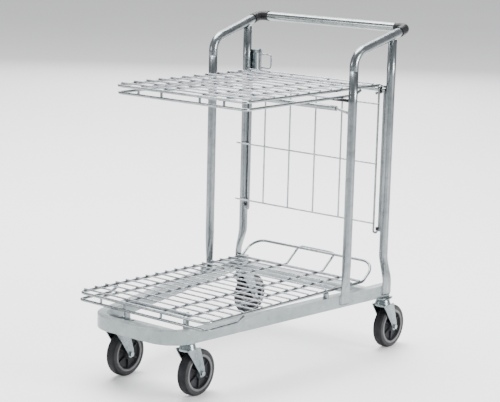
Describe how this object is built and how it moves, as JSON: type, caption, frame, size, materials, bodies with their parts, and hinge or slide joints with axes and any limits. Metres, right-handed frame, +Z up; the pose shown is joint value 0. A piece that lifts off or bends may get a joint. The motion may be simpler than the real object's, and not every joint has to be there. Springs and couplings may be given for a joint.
{
  "type": "wire luggage trolley",
  "caption": "Nestable double-deck wire luggage trolley with a folding upper shelf, hanging rear gate, lifting lower deck and swivel casters",
  "frame": {"origin": "on the floor, at the middle of the trolley's box", "axes": "+Z up, handle toward +Y, nose toward -Y, +X toward the side away from the lock"},
  "size_m": [0.5648, 0.8935, 0.9315],
  "materials": {
    "rail_zinc": "satin blue-grey zinc-rich coat",
    "tube_zinc": "bright zinc plate on steel tube",
    "wire_zinc": "bright zinc plate on steel wire",
    "caster_zinc": "zinc plated pressed steel",
    "black_plastic": "moulded black plastic",
    "rim_plastic": "dark grey moulded wheel centre",
    "tyre_rubber": "black rubber tread"
  },
  "bodies": {
    "frame": {"base_rail": "rail_zinc", "rail_end_caps": "black_plastic", "front_caster_plate": "caster_zinc", "rear_cross_tube": "rail_zinc", "front_post_near": "tube_zinc", "front_post_far": "tube_zinc", "top_tube_near": "tube_zinc", "top_tube_far": "tube_zinc", "rear_post_near": "tube_zinc", "rear_post_far": "tube_zinc", "pivot_bar": "tube_zinc", "post_stay_near": "tube_zinc", "post_stay_far": "tube_zinc", "shelf_rest_rod": "wire_zinc", "shelf_rest_sleeve": "black_plastic", "stop_pegs": "black_plastic", "handle_bar": "tube_zinc", "handle_corner_near": "black_plastic", "handle_corner_far": "black_plastic", "handle_screws": "tube_zinc", "lock_bracket": "tube_zinc", "lock_pin": "wire_zinc", "lock_rivets": "tube_zinc", "deck_hinge_brackets": "rail_zinc", "deck_rest_pads": "rail_zinc", "caster_nf_plate": "caster_zinc", "caster_ff_plate": "caster_zinc", "caster_nr_plate": "caster_zinc", "caster_fr_plate": "caster_zinc"},
    "bail": {"lock_bail": "wire_zinc"},
    "shelf": {"shelf_upper_frame": "wire_zinc", "shelf_lower_frame": "wire_zinc", "shelf_cross_wires": "wire_zinc", "shelf_long_rods": "wire_zinc", "shelf_rear_rod": "wire_zinc"},
    "gate": {"gate_side_rods": "wire_zinc", "gate_upright_wires": "wire_zinc", "gate_cross_wires": "wire_zinc", "gate_hook_tips": "black_plastic"},
    "deck": {"deck_frame": "wire_zinc", "deck_lower_frame": "wire_zinc", "deck_cross_wires": "wire_zinc", "deck_long_rods": "wire_zinc", "deck_hinge_rod": "wire_zinc"},
    "caster_nf_swivel": {"caster_nf_fork": "caster_zinc", "caster_nf_axle": "caster_zinc"},
    "caster_nf_wheel": {"caster_nf_rim": "rim_plastic", "caster_nf_tyre": "tyre_rubber"},
    "caster_ff_swivel": {"caster_ff_fork": "caster_zinc", "caster_ff_axle": "caster_zinc"},
    "caster_ff_wheel": {"caster_ff_rim": "rim_plastic", "caster_ff_tyre": "tyre_rubber"},
    "caster_nr_swivel": {"caster_nr_fork": "caster_zinc", "caster_nr_axle": "caster_zinc"},
    "caster_nr_wheel": {"caster_nr_rim": "rim_plastic", "caster_nr_tyre": "tyre_rubber"},
    "caster_fr_swivel": {"caster_fr_fork": "caster_zinc", "caster_fr_axle": "caster_zinc"},
    "caster_fr_wheel": {"caster_fr_rim": "rim_plastic", "caster_fr_tyre": "tyre_rubber"}
  },
  "joints": [
    {"name": "shelf_fold", "type": "hinge", "parent": "frame", "child": "shelf", "pos_m": [0, 0.34, 0.749], "axis": [-1, 0, 0], "range_deg": [0, 90]},
    {"name": "gate_swing", "type": "hinge", "parent": "frame", "child": "gate", "pos_m": [0, 0.34, 0.749], "axis": [-1, 0, 0], "range_deg": [0, 18]},
    {"name": "deck_lift", "type": "hinge", "parent": "frame", "child": "deck", "pos_m": [0, -0.33999, 0.21394], "axis": [1, 0, 0], "range_deg": [0, 6]},
    {"name": "bail_turn", "type": "hinge", "parent": "frame", "child": "bail", "pos_m": [-0.226, 0.369, 0.786], "axis": [0, 0, 1], "range_deg": [0, 90]},
    {"name": "swivel_nf", "type": "hinge", "parent": "frame", "child": "caster_nf_swivel", "pos_m": [0.124, -0.358, 0.14], "axis": [0, 0, 1], "continuous": true},
    {"name": "spin_nf", "type": "hinge", "parent": "caster_nf_swivel", "child": "caster_nf_wheel", "pos_m": [0.124, -0.323, 0.0625], "axis": [1, 0, 0], "continuous": true},
    {"name": "swivel_ff", "type": "hinge", "parent": "frame", "child": "caster_ff_swivel", "pos_m": [-0.124, -0.358, 0.14], "axis": [0, 0, 1], "continuous": true},
    {"name": "spin_ff", "type": "hinge", "parent": "caster_ff_swivel", "child": "caster_ff_wheel", "pos_m": [-0.124, -0.323, 0.0625], "axis": [1, 0, 0], "continuous": true},
    {"name": "swivel_nr", "type": "hinge", "parent": "frame", "child": "caster_nr_swivel", "pos_m": [0.25541, 0.349, 0.14], "axis": [0, 0, 1], "continuous": true},
    {"name": "spin_nr", "type": "hinge", "parent": "caster_nr_swivel", "child": "caster_nr_wheel", "pos_m": [0.25541, 0.384, 0.0625], "axis": [1, 0, 0], "continuous": true},
    {"name": "swivel_fr", "type": "hinge", "parent": "frame", "child": "caster_fr_swivel", "pos_m": [-0.25541, 0.349, 0.14], "axis": [0, 0, 1], "continuous": true},
    {"name": "spin_fr", "type": "hinge", "parent": "caster_fr_swivel", "child": "caster_fr_wheel", "pos_m": [-0.25541, 0.384, 0.0625], "axis": [1, 0, 0], "continuous": true}
  ]
}
